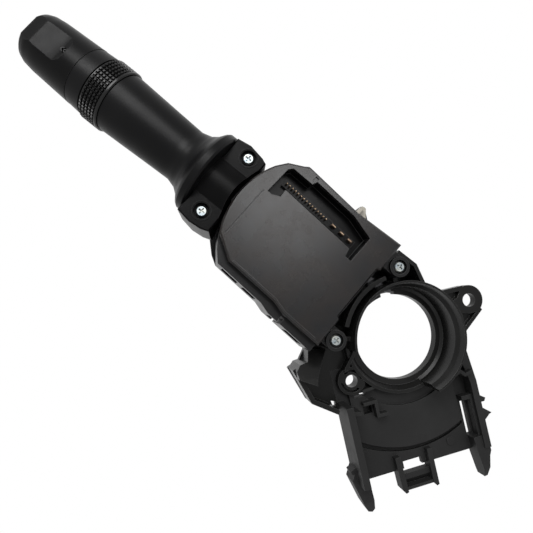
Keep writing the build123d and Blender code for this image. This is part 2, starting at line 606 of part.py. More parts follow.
def cancel_pawl():
    """Pawl whose tip reaches through the ring to be struck by the column's cam."""
    x0, y0 = PAWL_PIN
    x1, y1 = PAWL_TIP
    angle = math.degrees(math.atan2(y1 - y0, x1 - x0))
    reach = math.hypot(x1 - x0, y1 - y0)
    outline = [(0, -2.2), (8, -1.5), (reach - 2.2, -1.3), (reach, -0.4), (reach, 0.4)]
    outline = outline + [(reach - 2.2, 1.3), (8, 1.5), (0, 2.2)]
    plate = prism(outline, PAWL_Z0, PAWL_Z1) + post(0, 0, 2.8, PAWL_Z0, PAWL_Z1)
    plate = Pos(x0, y0, 0) * Rot(0, 0, angle) * plate
    return plate - post(x0, y0, PAWL_PIN_R + RUN_GAP, 0, 30)


def locking_clip():
    """Pale clip plate on the far side wall of the housing."""
    outline = [(-52.2, 25.6), (-51.6, 30.6), (-50.6, 31.8), (-49.4, 31.8), (-46.4, 28.2), (-45.2, 26.2)]
    plate = prism(outline, 9.5, 11.0)
    return plate + prism([(-52.2, 26.2), (-51.6, 30.6), (-50.4, 30.4), (-50.6, 26.2)], 11.0, 13.6)


def cover_screws():
    """Two screws that hold the housing to the ring's posts."""
    group = []
    for x, y in COVER_SCREWS:
        screw = pan_screw(SCREW_HEAD_R, SCREW_HEAD_T, SCREW_SHANK_R, SCREW_LENGTH)
        group.append(Pos(x, y, HOUSING_TOP) * screw)
    return Compound(children=group)


def lever_tube():
    """Flared lever tube with a rounded flange at the neck end."""
    s0 = FLANGE_S
    outline = [(s0, 9.4), (s0, FLANGE_R - 0.8), (s0 + 0.8, FLANGE_R), (s0 + 3.3, FLANGE_R)]
    outline = outline + [(s0 + 4.3, 18.3), (s0 + 6.5, 15.6), (s0 + 9.5, 13.4), (s0 + 14.0, 12.15)]
    outline = outline + [(s0 + 24.0, 12.55), (TUBE_END_S, TUBE_R)]
    outline = outline + [(TUBE_END_S, TUBE_BORE_R), (CORE_DISC_S - 3, TUBE_BORE_R), (CORE_DISC_S - 6, 9.4)]
    return LEVER_FRAME * lathe(outline)


def lever_core():
    """Fixed core inside the tube that carries the ring, the collar and the shaft."""
    s0 = CORE_DISC_S
    outline = [(s0, SHAFT_R + RUN_GAP), (s0, TUBE_BORE_R), (s0 + 3, TUBE_BORE_R), (s0 + 3, CORE_R)]
    outline = outline + [(COLLAR_S0, CORE_R), (COLLAR_S0, 5.0), (COLLAR_S1 - 0.8, 5.0)]
    outline = outline + [(COLLAR_S1 - 0.8, SHAFT_R + RUN_GAP)]
    return LEVER_FRAME * lathe(outline)


def head_board():
    """Eight-sided contact board inside the lever head."""
    s0 = CORE_DISC_S + 7
    plate = extrude(RegularPolygon(10.6, 8), 1.2) - Cylinder(CORE_R, 9)
    return LEVER_FRAME * (Pos(s0, 0, 0) * Rot(0, 90, 0) * plate)


def knob_tracks():
    """Half-round brass tracks on the back of the core's disc."""
    s0 = CORE_DISC_S - 0.3
    outline = [(s0, 4.6), (s0, 8.6), (CORE_DISC_S, 8.6), (CORE_DISC_S, 4.6)]
    arc = revolve(Polygon(*outline, align=None), Axis.X, 190)
    return LEVER_FRAME * (Rot(-50, 0, 0) * arc)


def knurled_ring():
    """Ring switch with its grip band, and a skirt that runs into the tube."""
    outline = [(RING_S0 - 4.4, CORE_R + RUN_GAP), (RING_S1, CORE_R + RUN_GAP), (RING_S1, KNURL_R - 0.6)]
    outline = outline + [(RING_S1 - 0.9, KNURL_R), (RING_S0 + 0.4, KNURL_R), (RING_S0, KNURL_R - 0.4)]
    outline = outline + [(RING_S0, 9.6), (RING_S0 - 4.4, 9.6)]
    return LEVER_FRAME * lathe(outline)


def ring_wipers():
    """Brass wiper fingers on the end of the ring's skirt."""
    group = []
    s1 = RING_S0 - 4.4
    s0 = CORE_DISC_S + 8.25
    for k in range(3):
        finger = block(s0, s1, -1.2, 1.2, 8.2, 9.4)
        group.append(LEVER_FRAME * (Rot(60 + k * 25, 0, 0) * finger))
    return Compound(children=group)


def symbol_collar():
    """Fixed collar between the ring and the knob."""
    outline = [(COLLAR_S0, 5.0), (COLLAR_S0, COLLAR_R), (COLLAR_S1, COLLAR_R - 0.5), (COLLAR_S1, 11.4)]
    outline = outline + [(COLLAR_S0 + 2.2, 11.4), (COLLAR_S0 + 2.2, 5.0)]
    return LEVER_FRAME * lathe(outline)


def light_knob():
    """Turning end knob with a thumb flat that runs down to its tip."""
    s0 = KNOB_S0
    s1 = KNOB_S1
    outer = [(s0, 0), (s0, KNOB_R), (s1 - 8.2, KNOB_R - 1.0)]
    outer = outer + [(s1 - 3.6, KNOB_R - 1.6), (s1 - 1.2, KNOB_R - 2.5), (s1, KNOB_R - 3.6), (s1, 0)]
    flat = [(s1 + 1, 8.4), (s1, 8.8), (s1 - 6, 10.9), (s0 + 9.5, 11.5), (s0 + 7.2, 12.4), (s0 + 6.2, 14.0)]
    flat = Plane.XZ * Polygon(*flat, (s1 + 1, 14.5), align=None)
    cavity = lathe([(s0 - 1, 4.2), (s0 - 1, 10.6), (s1 - 9.0, 9.6), (s1 - 9.0, 4.2)])
    cavity = cavity - block(s0, s1, -12, 12, 6.0, 20)
    body = lathe(outer) - extrude(flat, amount=15, dir=(0, 1, 0), both=True) - cavity
    return LEVER_FRAME * (body - rod(s0 - 1, s0 + 13.0, SHAFT_R))


def knob_shaft():
    """Steel shaft from the knob back to its rotor inside the tube."""
    return LEVER_FRAME * rod(CORE_DISC_S - 8.0, KNOB_S0 + 13.0, SHAFT_R)


def knob_rotor():
    """Rotor with its wiper nose, fixed on the inner end of the knob's shaft."""
    s1 = CORE_DISC_S - 0.7
    hub = block(s1 - 4.5, s1, -4.4, 4.4, -4.4, 4.4)
    arms = Rot(40, 0, 0) * block(s1 - 1.6, s1, -1.6, 1.6, 0, 8.8)
    arms = arms + Rot(-40, 0, 0) * block(s1 - 1.6, s1, -1.6, 1.6, 0, 8.8)
    return LEVER_FRAME * (hub + arms - rod(s1 - 6, s1 + 1, SHAFT_R))


def rotor_wipers():
    """Brass wiper fingers on the knob's rotor."""
    group = []
    s1 = CORE_DISC_S - 0.7
    for k in (-1, 1):
        finger = block(s1, s1 + 0.35, -0.8, 0.8, 5.4, 8.2)
        group.append(LEVER_FRAME * (Rot(k * 40, 0, 0) * finger))
    return Compound(children=group)


def neck_body(h0, h1):
    """Slab of the lever's neck between two heights over the lever axis."""
    s1 = FLANGE_S
    outline = [(s1, -17.6), (s1, 20.6), (s1 - 6.5, 21.6), (s1 - 12, 21.0), (s1 - 15.4, 19.8)]
    outline = outline + [(s1 - 15.4, -16.4), (s1 - 13, -17.4), (s1 - 6, -18.6)]
    return prism(outline, h0, h1)


def nose_clearance():
    """Space round the housing's nose that the neck keeps out of as it tips."""
    waist = NOSE_R + NECK_GAP
    wide = waist + NECK_SLOPE * 30
    outline = [(0, PULL_Z - 30), (wide, PULL_Z - 30), (waist, PULL_Z), (wide, PULL_Z + 30), (0, PULL_Z + 30)]
    return Pos(*PIVOT, 0) * spun(outline)


def lever_neck():
    """Lower half of the neck with the shank and tail that run into the housing."""
    low = neck_body(-9.6, CAP_SPLIT_H)
    belly = rod(FLANGE_S - 24, FLANGE_S, 14.0, 1.5, -0.8)
    belly = belly & block(FLANGE_S - 28, FLANGE_S, -9, 12, -16, 0)
    body = LEVER_FRAME * (low + belly) - nose_clearance()
    py = PIVOT[1]
    x0 = PIVOT[0] - NOSE_R - 3.0
    z0 = PULL_Z - SHANK_HALF_H
    shank = block(x0, PULL_X, py - SHANK_HALF_W, py + SHANK_HALF_W, z0, PULL_Z + SHANK_HALF_H)
    eye = cross_bar(PULL_X, PULL_Z, SHANK_HALF_H, py - SHANK_HALF_W, py + SHANK_HALF_W)
    tail = block(PULL_X, PULL_X + TAIL_REACH, py - 2.4, py + 2.4, PULL_Z - 1.1, PULL_Z + 1.1)
    tip = cross_bar(PULL_X + TAIL_REACH, PULL_Z, TAIL_R, py - 3.6, py + 3.6)
    body = body + shank + eye + tail + tip
    body = body - cross_bar(PULL_X, PULL_Z, HINGE_PIN_R + RUN_GAP, py - 9, py + 9)
    for x, y in CAP_SCREWS:
        s, side = lever_plan(x, y)
        body = body - LEVER_FRAME * post(s, side, SCREW_SHANK_R, -5.6, 20)
    return body


def lever_plan(x, y):
    """Station and side offset of a plan point, in the lever's own frame."""
    local = LEVER_FRAME.to_local_coords(Vector(x, y, 20.0))
    return local.X, local.Y


def neck_cap():
    """Upper half of the neck: two flat pads with sunk screws and a bulge between."""
    slab = neck_body(CAP_SPLIT_H, PAD_H)
    slab = chamfer(slab.faces().sort_by(Axis.Z)[-1].edges(), 0.6)
    bulge = rod(FLANGE_S - 22, FLANGE_S, 13.4, 1.5, -1.2)
    bulge = bulge & block(FLANGE_S - 28, FLANGE_S, -9, 12, CAP_SPLIT_H, 20)
    body = slab + bulge
    for x, y in CAP_SCREWS:
        s, side = lever_plan(x, y)
        body = body - post(s, side, 3.3, PAD_H - 2.2, 20) - post(s, side, SCREW_SHANK_R + 0.2, 0, 20)
    return LEVER_FRAME * body - nose_clearance()


def neck_screws():
    """Two screws sunk in the neck's pads."""
    group = []
    for x, y in CAP_SCREWS:
        s, side = lever_plan(x, y)
        screw = pan_screw(SCREW_HEAD_R, SCREW_HEAD_T, SCREW_SHANK_R, SCREW_LENGTH)
        group.append(LEVER_FRAME * (Pos(s, side, PAD_H - 2.2) * screw))
    return Compound(children=group)


PIECES = {
    "column_ring": column_ring,
    "receptacle_tray": receptacle_tray,
    "switch_housing": switch_housing,
    "housing_cover": housing_cover,
    "cover_screws": cover_screws,
    "connector_shroud": connector_shroud,
    "signal_pins": signal_pins,
    "power_pins": power_pins,
    "contact_board": contact_board,
    "contact_strips": contact_strips,
    "pivot_pin": pivot_pin,
    "pawl_pin": pawl_pin,
    "detent_block": detent_block,
    "locking_clip": locking_clip,
    "turn_carrier": turn_carrier,
    "hinge_pin": hinge_pin,
    "detent_spring": detent_spring,
    "detent_plunger": detent_plunger,
    "turn_slider": turn_slider,
    "turn_wipers": turn_wipers,
    "beam_slider": beam_slider,
    "beam_wiper": beam_wiper,
    "cancel_pawl": cancel_pawl,
    "lever_neck": lever_neck,
    "neck_cap": neck_cap,
    "neck_screws": neck_screws,
    "lever_tube": lever_tube,
    "lever_core": lever_core,
    "head_board": head_board,
    "knob_tracks": knob_tracks,
    "symbol_collar": symbol_collar,
    "knurled_ring": knurled_ring,
    "ring_wipers": ring_wipers,
    "light_knob": light_knob,
    "knob_shaft": knob_shaft,
    "knob_rotor": knob_rotor,
    "rotor_wipers": rotor_wipers,
}


def main():
    """Build every piece and write one STEP file for each."""
    os.makedirs("parts", exist_ok=True)
    for name, make in PIECES.items():
        export_step(make(), "parts/" + name + ".step")


main()
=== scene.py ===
"""Looks of the combination stalk switch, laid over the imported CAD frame."""
import json
import logging
import math
from dataclasses import dataclass, field
from enum import Enum
from typing import Any, Mapping, Sequence

import bmesh
import bpy
from mathutils import Matrix, Vector


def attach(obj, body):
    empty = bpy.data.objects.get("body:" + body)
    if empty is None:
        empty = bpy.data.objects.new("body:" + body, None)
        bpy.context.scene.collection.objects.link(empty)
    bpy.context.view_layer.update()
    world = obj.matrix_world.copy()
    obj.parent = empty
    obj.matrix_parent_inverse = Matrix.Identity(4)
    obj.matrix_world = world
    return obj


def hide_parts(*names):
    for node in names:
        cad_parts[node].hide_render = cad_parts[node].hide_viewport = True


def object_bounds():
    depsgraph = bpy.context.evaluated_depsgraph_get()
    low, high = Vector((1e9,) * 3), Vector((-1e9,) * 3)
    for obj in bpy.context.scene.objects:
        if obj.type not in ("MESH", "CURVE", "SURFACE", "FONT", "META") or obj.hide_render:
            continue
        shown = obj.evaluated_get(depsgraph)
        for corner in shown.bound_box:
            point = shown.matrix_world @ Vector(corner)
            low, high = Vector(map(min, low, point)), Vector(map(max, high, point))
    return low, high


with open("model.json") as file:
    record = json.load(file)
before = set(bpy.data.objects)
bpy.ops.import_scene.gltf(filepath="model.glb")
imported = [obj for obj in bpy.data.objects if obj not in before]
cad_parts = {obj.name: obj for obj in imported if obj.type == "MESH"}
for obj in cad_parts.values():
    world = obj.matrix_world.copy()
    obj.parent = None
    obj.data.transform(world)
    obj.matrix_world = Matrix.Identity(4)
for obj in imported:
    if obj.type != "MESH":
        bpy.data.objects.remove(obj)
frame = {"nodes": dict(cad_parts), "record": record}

CAD_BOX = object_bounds()
LOG = logging.getLogger("stalk_switch")

Point = tuple[float, float]
Triple = tuple[float, float, float]

# Lengths are in metres, and scales of noise in cells per metre.
MILLIMETRE = 0.001
WELD_REACH = 0.000002
DRIFT_SCALE = 34.0
FINE_SCALE = 5200.0
SPARK_SCALE = 2600.0
PLATING_SCALE = 420.0
SCRATCH_SCALE = 7000.0
WEAVE_SCALE = 1800.0

# Colour of the world, and of the floor where it is seen.
WHITE = (1.0, 1.0, 1.0, 1.0)

# Shader settings that every finish of a kind shares.
PLASTIC_IOR = 1.5
BEVEL_SAMPLES = 4
DRIFT_LIFT = 0.002
EDGE_STOPS = ((0.02, 0.0), (0.16, 1.0))
DRIFT_STOPS = ((0.35, 0.0), (0.68, 1.0))
PLATING_STOPS = ((0.35, 0.0), (0.7, 1.0))
PATCH_START = 0.30
PATCH_FULL = 0.72

# Weights of the grain's height: fine noise with cells, and fine noise with patches.
SPARK_MIX = (0.55, 0.8)
SMOOTH_MIX = (0.4, 0.2)

# Short plates in a flat ring.
BAND_STEPS = 28


class Grain(Enum):
    """How a moulded face is textured."""

    SPARK = "spark"
    SATIN = "satin"
    SMOOTH = "smooth"


@dataclass
class Term:
    """A shader socket that adds Math nodes when it is used in an expression."""

    sheet: "NodeSheet"
    socket: bpy.types.NodeSocket

    def _math(self, operation: str, first: Any, second: Any) -> "Term":
        """Adds one Math node for two terms or numbers."""
        made = self.sheet.node("ShaderNodeMath", {"operation": operation}, {0: first, 1: second})
        return Term(self.sheet, made.outputs[0])

    def __add__(self, other: Any) -> "Term":
        """This term plus another."""
        return self._math("ADD", self, other)

    def __radd__(self, other: Any) -> "Term":
        """Another value plus this term."""
        return self._math("ADD", other, self)

    def __sub__(self, other: Any) -> "Term":
        """This term minus another."""
        return self._math("SUBTRACT", self, other)

    def __rsub__(self, other: Any) -> "Term":
        """Another value minus this term."""
        return self._math("SUBTRACT", other, self)

    def __mul__(self, other: Any) -> "Term":
        """This term times another."""
        return self._math("MULTIPLY", self, other)

    def __rmul__(self, other: Any) -> "Term":
        """Another value times this term."""
        return self._math("MULTIPLY", other, self)

    def __pow__(self, other: Any) -> "Term":
        """This term to a power."""
        return self._math("POWER", self, other)

    def above(self, level: float) -> "Term":
        """One where this term is over a level, else nought."""
        return self._math("GREATER_THAN", self, level)

    def larger(self, other: Any) -> "Term":
        """The larger of this term and another."""
        return self._math("MAXIMUM", self, other)


class NodeSheet:
    """A node tree that starts empty and is filled through one method."""

    def __init__(self, tree: bpy.types.NodeTree) -> None:
        """Empties the tree.

        Args:
            tree: the tree of a material or a world.
        """
        self.tree = tree
        self.tree.nodes.clear()

    def node(
        self, kind: str, settings: Mapping[str, Any], inputs: Mapping[Any, Any],
    ) -> bpy.types.Node:
        """Adds a node, sets it and fills its sockets.

        Args:
            kind: Blender's type name of the node.
            settings: attributes to set first; "stops" fills a colour ramp.
            inputs: socket name or number, with a value, a Term or a socket.

        Returns:
            The new node.
        """
        made = self.tree.nodes.new(kind)
        for name, value in settings.items():
            if name == "stops":
                self._fill_ramp(made, value)
            else:
                setattr(made, name, value)
        for key, value in inputs.items():
            self.feed(made.inputs[key], value)
        return made

    def _fill_ramp(self, ramp: bpy.types.Node, stops: Sequence[Point]) -> None:
        """Sets a grey ramp's stops.

        Args:
            ramp: the colour ramp's node.
            stops: position and grey level of each stop.
        """
        elements = ramp.color_ramp.elements
        while len(elements) < len(stops):
            elements.new(0.5)
        for element, (place, level) in zip(elements, stops):
            element.position = place
            element.color = (level, level, level, 1.0)

    def feed(self, target: bpy.types.NodeSocket, value: Any) -> None:
        """Links a Term or socket to a socket, or sets its value.

        Args:
            target: the socket to fill.
            value: a Term, a socket or a plain value.
        """
        if isinstance(value, Term):
            self.tree.links.new(value.socket, target)
        elif isinstance(value, bpy.types.NodeSocket):
            self.tree.links.new(value, target)
        else:
            target.default_value = value

    def seen_ray(self) -> Term:
        """Tells the rays that show the surroundings from those that light the part.

        Returns:
            One for camera, glossy and transmission rays, else nought.
        """
        path = self.node("ShaderNodeLightPath", {}, {})
        camera = Term(self, path.outputs["Is Camera Ray"])
        glossy = Term(self, path.outputs["Is Glossy Ray"])
        return camera.larger(glossy).larger(Term(self, path.outputs["Is Transmission Ray"]))


class ShaderSheet(NodeSheet):
    """One material and the nodes on it."""

    def __init__(self, name: str) -> None:
        """Starts an empty material with a Principled shader.

        Args:
            name: the material's name.
        """
        self.material = bpy.data.materials.new(name)
        self.material.use_nodes = True
        super().__init__(self.material.node_tree)
        self.shader = self.node("ShaderNodeBsdfPrincipled", {}, {})
        self.output = self.node("ShaderNodeOutputMaterial", {}, {"Surface": self.shader.outputs[0]})

    def place(self) -> bpy.types.NodeSocket:
        """Object coordinates, in metres, in the row frame."""
        return self.node("ShaderNodeTexCoord", {}, {}).outputs["Object"]

    def noise(self, scale: float, detail: float, rough: float = 0.5) -> Term:
        """Noise over the object's own coordinates.

        Args:
            scale: cells per metre.
            detail: octaves.
            rough: weight of the finer octaves.

        Returns:
            The noise level as a Term.
        """
        inputs = {"Vector": self.place(), "Scale": scale, "Detail": detail, "Roughness": rough}
        return Term(self, self.node("ShaderNodeTexNoise", {}, inputs).outputs[0])

    def cells(self, scale: float) -> Term:
        """Distance to the nearest cell point, for spark-eroded grain."""
        made = self.node("ShaderNodeTexVoronoi", {}, {"Vector": self.place(), "Scale": scale})
        return Term(self, made.outputs["Distance"])

    def ramp(self, term: Term, stops: Sequence[Point]) -> Term:
        """A term passed through a grey ramp of positions and levels."""
        made = self.node("ShaderNodeValToRGB", {"stops": stops}, {0: term})
        return Term(self, made.outputs[0])

    def blend(self, factor: Any, low: Any, high: Any) -> bpy.types.NodeSocket:
        """Mixes two colours by a factor.

        Args:
            factor: share of the second colour, a Term or a number.
            low: the first colour, as three numbers or a socket.
            high: the second colour, as three numbers or a socket.

        Returns:
            The socket of the mixed colour.
        """
        settings = {"data_type": "RGBA"}
        first = low if isinstance(low, bpy.types.NodeSocket) else (*low, 1.0)
        second = high if isinstance(high, bpy.types.NodeSocket) else (*high, 1.0)
        made = self.node("ShaderNodeMix", settings, {0: factor, 6: first, 7: second})
        return made.outputs[2]

    def corners(self, radius: float) -> Term:
        """Finds sharp edges, where the painted edge highlight goes.

        Args:
            radius: how far in metres an edge reaches.

        Returns:
            One on the piece's sharp edges and nought elsewhere.
        """
        soft = self.node("ShaderNodeBevel", {"samples": BEVEL_SAMPLES}, {"Radius": radius})
        flat = self.node("ShaderNodeNewGeometry", {}, {})
        inputs = {0: soft.outputs[0], 1: flat.outputs["Normal"]}
        turned = self.node("ShaderNodeVectorMath", {"operation": "DOT_PRODUCT"}, inputs)
        return self.ramp(1.0 - Term(self, turned.outputs["Value"]), EDGE_STOPS)

    def relief(self, height: Term, strength: float, depth: float, edge: float) -> None:
        """Feeds the shader's normal from a height and a softened edge.

        Args:
            height: the relief's height, nought to one.
            strength: how much of the relief shows.
            depth: the relief's real depth in metres.
            edge: radius in metres to which sharp edges are softened.
        """
        soft = self.node("ShaderNodeBevel", {"samples": BEVEL_SAMPLES}, {"Radius": edge})
        inputs = {"Strength": strength, "Distance": depth, "Height": height}
        bump = self.node("ShaderNodeBump", {}, inputs | {"Normal": soft.outputs[0]})
        self.feed(self.shader.inputs["Normal"], bump.outputs[0])


@dataclass(frozen=True)
class MouldedPlastic:
    """Moulded plastic with a grain, slow shade drift, softened edges and a painted highlight on
    sharp edges.

    Attributes:
        name: name of the finish, and of the record's slot where it has one.
        colour: the darker base colour.
        rough: mean roughness.
        grain: texture of the face.
        drift: how much lighter the slow patches are.
        warm: how much warmer the small patches are.
        edge: radius in metres to which edges are softened.
        grain_depth: depth of the grain in metres.
        gloss: the shader's specular level.
        patch_scale: small patches per metre.
        rim: grey of the painted highlight on sharp edges, or nought for none.
        blotch: how much of the small patches shows.
        painted_highlight_reach: width in metres of the painted edge highlight.
        patch_rough: how much the small patches change the roughness.
        fine_rough: how much the fine grain changes it.
        relief: how much of the grain's height shows.
    """

    name: str
    colour: Triple
    rough: float
    grain: Grain = Grain.SATIN
    drift: float = 0.35
    warm: float = 0.0
    edge: float = 0.00025
    grain_depth: float = 0.00003
    gloss: float = 0.25
    patch_scale: float = 190.0
    rim: float = 0.0
    blotch: float = 0.5
    painted_highlight_reach: float = 0.0003
    patch_rough: float = 0.16
    fine_rough: float = 0.10
    relief: float = 0.35

    def material(self) -> bpy.types.Material:
        """Builds the plastic's material.

        Returns:
            The new material.
        """
        sheet = ShaderSheet(self.name)
        slow = sheet.noise(DRIFT_SCALE, detail=3.0)
        patch = sheet.noise(self.patch_scale, detail=4.0, rough=0.6)
        fine = sheet.noise(FINE_SCALE, detail=3.0, rough=0.6)
        lighter = tuple(c * (1.0 + self.drift) + DRIFT_LIFT for c in self.colour)
        red, green, blue = self.colour
        warmed = (red * (1 + self.warm), green, blue * (1 - self.warm * 0.5))
        base = sheet.blend(sheet.ramp(slow, DRIFT_STOPS), self.colour, lighter)
        patches = sheet.ramp(patch, ((PATCH_START, 0.0), (PATCH_FULL, self.blotch)))
        base = sheet.blend(patches, base, warmed)
        # Painted highlight: sharp edges are lightened towards the rim grey, standing in for light
        # caught on rounded edges.
        if self.rim > 0.0:
            base = sheet.blend(sheet.corners(self.painted_highlight_reach), base, (self.rim,) * 3)
        sheet.feed(sheet.shader.inputs["Base Color"], base)
        rough = self.rough + (patch - 0.5) * self.patch_rough + (fine - 0.5) * self.fine_rough
        sheet.feed(sheet.shader.inputs["Roughness"], rough)
        height = fine
        if self.grain is Grain.SPARK:
            height = fine * SPARK_MIX[0] + sheet.cells(SPARK_SCALE) * SPARK_MIX[1]
        if self.grain is Grain.SMOOTH:
            height = fine * SMOOTH_MIX[0] + patch * SMOOTH_MIX[1]
        sheet.relief(height, self.relief, self.grain_depth, self.edge)
        sheet.shader.inputs["IOR"].default_value = PLASTIC_IOR
        sheet.shader.inputs["Specular IOR Level"].default_value = self.gloss
        return sheet.material


@dataclass(frozen=True)
class PlatedMetal:
    """Plated or ground metal with fine scratches and a tinted sheen.

    Attributes:
        name: name of the finish and of the record's slot.
        colour: the base colour.
        tint: colour of the small patches.
        rough: mean roughness.
        edge: radius in metres to which edges are softened.
        grain_depth: depth of the scratches in metres.
        patch_rough: how much the patches change the roughness.
        fine_rough: how much the scratches change it.
        relief: how much of the scratches' height shows.
    """

    name: str
    colour: Triple
    tint: Triple
    rough: float
    edge: float = 0.00008
    grain_depth: float = 0.00001
    patch_rough: float = 0.2
    fine_rough: float = 0.12
    relief: float = 0.15

    def material(self) -> bpy.types.Material:
        """Builds the metal's material.

        Returns:
            The new material.
        """
        sheet = ShaderSheet(self.name)
        patch = sheet.noise(PLATING_SCALE, detail=3.0)
        fine = sheet.noise(SCRATCH_SCALE, detail=4.0, rough=0.65)
        colour = sheet.blend(sheet.ramp(patch, PLATING_STOPS), self.colour, self.tint)
        sheet.feed(sheet.shader.inputs["Base Color"], colour)
        sheet.shader.inputs["Metallic"].default_value = 1.0
        rough = self.rough + (patch - 0.5) * self.patch_rough + (fine - 0.5) * self.fine_rough
        sheet.feed(sheet.shader.inputs["Roughness"], rough)
        sheet.relief(fine, self.relief, self.grain_depth, self.edge)
        return sheet.material


@dataclass(frozen=True)
class BoardLaminate:
    """Printed board with a woven grain under green resist.

    Attributes:
        name: name of the finish and of the record's slot.
        colour: the darker base colour.
        lift: how many times lighter the weave's crests are.
        rough: mean roughness.
        weave_rough: how much the weave changes the roughness.
        edge: radius in metres to which edges are softened.
        grain_depth: depth of the weave in metres.
        relief: how much of the weave's height shows.
    """

    name: str
    colour: Triple
    lift: float = 1.5
    rough: float = 0.34
    weave_rough: float = 0.2
    edge: float = 0.0001
    grain_depth: float = 0.00002
    relief: float = 0.2

    def material(self) -> bpy.types.Material:
        """Builds the board's material.

        Returns:
            The new material.
        """
        sheet = ShaderSheet(self.name)
        weave = sheet.noise(WEAVE_SCALE, detail=2.0)
        lighter = tuple(c * self.lift for c in self.colour)
        sheet.feed(sheet.shader.inputs["Base Color"], sheet.blend(weave, self.colour, lighter))
        sheet.feed(sheet.shader.inputs["Roughness"], self.rough + (weave - 0.5) * self.weave_rough)
        sheet.relief(weave, self.relief, self.grain_depth, self.edge)
        return sheet.material


# Each rim value is the grey of a painted highlight on that finish's sharp edges.
FINISHES = (
    MouldedPlastic(
        "bracket_plastic", (0.0110, 0.0110, 0.0110), 0.50, Grain.SPARK, gloss=0.12, rim=0.035,
    ),
    MouldedPlastic(
        "ring_plastic", (0.0055, 0.0055, 0.0053), 0.27, Grain.SMOOTH, gloss=0.13, rim=0.06,
        patch_scale=110.0,
    ),
    MouldedPlastic(
        "housing_plastic", (0.0045, 0.0045, 0.0047), 0.32, Grain.SPARK, gloss=0.14, rim=0.07,
    ),
    MouldedPlastic(
        "cover_plastic", (0.0040, 0.0044, 0.0052), 0.25, gloss=0.22, rim=0.07,
        warm=0.9, patch_scale=80.0, blotch=0.9,
    ),
    MouldedPlastic(
        "lever_plastic", (0.0020, 0.0020, 0.0022), 0.355, edge=0.0003, gloss=0.10,
    ),
    MouldedPlastic("knob_plastic", (0.0016, 0.0016, 0.0017), 0.33, gloss=0.075, rim=0.03),
    MouldedPlastic("neck_plastic", (0.0016, 0.0016, 0.0017), 0.30, gloss=0.05, rim=0.02),
    MouldedPlastic(
        "knurl_plastic", (0.0018, 0.0018, 0.0019), 0.22, Grain.SMOOTH, edge=0.00005, gloss=0.24,
    ),
    MouldedPlastic(
        "socket_plastic", (0.0014, 0.0014, 0.0015), 0.24, Grain.SMOOTH, gloss=0.05, rim=0.11,
    ),
    MouldedPlastic("slide_plastic", (0.055, 0.055, 0.06), 0.5, Grain.SMOOTH, gloss=0.5),
    MouldedPlastic(
        "pale_plastic", (0.30, 0.28, 0.235), 0.45, Grain.SMOOTH, drift=0.1, gloss=0.5,
    ),
    PlatedMetal("zinc_steel", (0.20, 0.23, 0.25), (0.30, 0.30, 0.27), 0.36),
    PlatedMetal("pin_steel", (0.55, 0.56, 0.58), (0.50, 0.50, 0.51), 0.3),
    PlatedMetal("brass", (0.66, 0.48, 0.20), (0.55, 0.36, 0.15), 0.32),
    PlatedMetal("tinned_brass", (0.27, 0.20, 0.14), (0.20, 0.14, 0.10), 0.40),
    BoardLaminate("board", (0.02, 0.08, 0.035)),
)


@dataclass
class FinishRack:
    """The material of every finish, found by the finish's name."""

    materials: dict[str, bpy.types.Material] = field(default_factory=dict)

    def fill(self) -> None:
        """Builds the material of each finish."""
        for finish in FINISHES:
            self.materials[finish.name] = finish.material()

    def material(self, name: str) -> bpy.types.Material:
        """The material of the finish with that name."""
        return self.materials[name]


@dataclass
class SubAssembly:
    """A group of CAD nodes that are dressed together.

    Attributes:
        rack: the finishes.
        nodes: the CAD nodes of the group.
        crease: angle in degrees over which an edge of a skin stays sharp.
        made_crease: the same angle for a piece that is built here.
        special: finish of a node that looks unlike the rest of its slot.
    """

    rack: FinishRack
    nodes: tuple[str, ...] = ()
    crease: float = 32.0
    made_crease: float = 30.0
    special: Mapping[str, str] = field(default_factory=dict)

    def slot_of(self, node: str) -> str:
        """The record's material slot of a node."""
        rows = frame["record"]["subparts"]
        return next(row["material_slot"] for row in rows if row["node"] == node)

    def body_of(self, node: str) -> str:
        """The CAD body that carries a node."""
        bodies = frame["record"]["behaviour"]["bodies"]
        return next(body for body, members in bodies.items() if node in members)

    def smoothed(self, node: str) -> bpy.types.Object:
        """A copy of a node with joined corners and smooth curves.

        Args:
            node: the CAD node that the copy stands for.

        Returns:
            The new piece, riding on the node's body.
        """
        mesh = frame["nodes"][node].data.copy()
        mesh.name = node + "_skin"
        if "custom_normal" in mesh.attributes:
            mesh.attributes.remove(mesh.attributes["custom_normal"])
        shell = bmesh.new()
        shell.from_mesh(mesh)
        bmesh.ops.remove_doubles(shell, verts=shell.verts, dist=WELD_REACH)
        limit = math.radians(self.crease)
        for face in shell.faces:
            face.smooth = True
        for edge in shell.edges:
            edge.smooth = edge.is_manifold and edge.calc_face_angle(0.0) < limit
        shell.to_mesh(mesh)
        shell.free()
        piece = bpy.data.objects.new(node + "_skin", mesh)
        bpy.context.scene.collection.objects.link(piece)
        mesh.materials.clear()
        mesh.materials.append(self.rack.material(self.special.get(node, self.slot_of(node))))
        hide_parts(node)
        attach(piece, self.body_of(node))
        return piece

    def dress(self) -> None:
        """Gives each node its smoothed skin and finish."""
        for node in self.nodes:
            piece = self.smoothed(node)
            LOG.info("%s: %d faces", piece.name, len(piece.data.polygons))


@dataclass(frozen=True)
class LeverAxis:
    """The lever's own frame, with X along it and Z up and out of its top.

    Attributes:
        start: its origin in metres, in the row frame.
        along: its X direction.
    """

    start: Triple = (-0.070, -0.002454, 0.014407)
    along: Triple = (-0.9927, -0.0338, -0.1157)

    def matrix(self) -> Matrix:
        """Finds the frame's place.

        Returns:
            The matrix from lever to row coordinates.
        """
        x = Vector(self.along).normalized()
        z = (Vector((0.0, 0.0, 1.0)) - x * x.z).normalized()
        turn = Matrix((x, z.cross(x), z)).transposed().to_4x4()
        return Matrix.Translation(self.start) @ turn


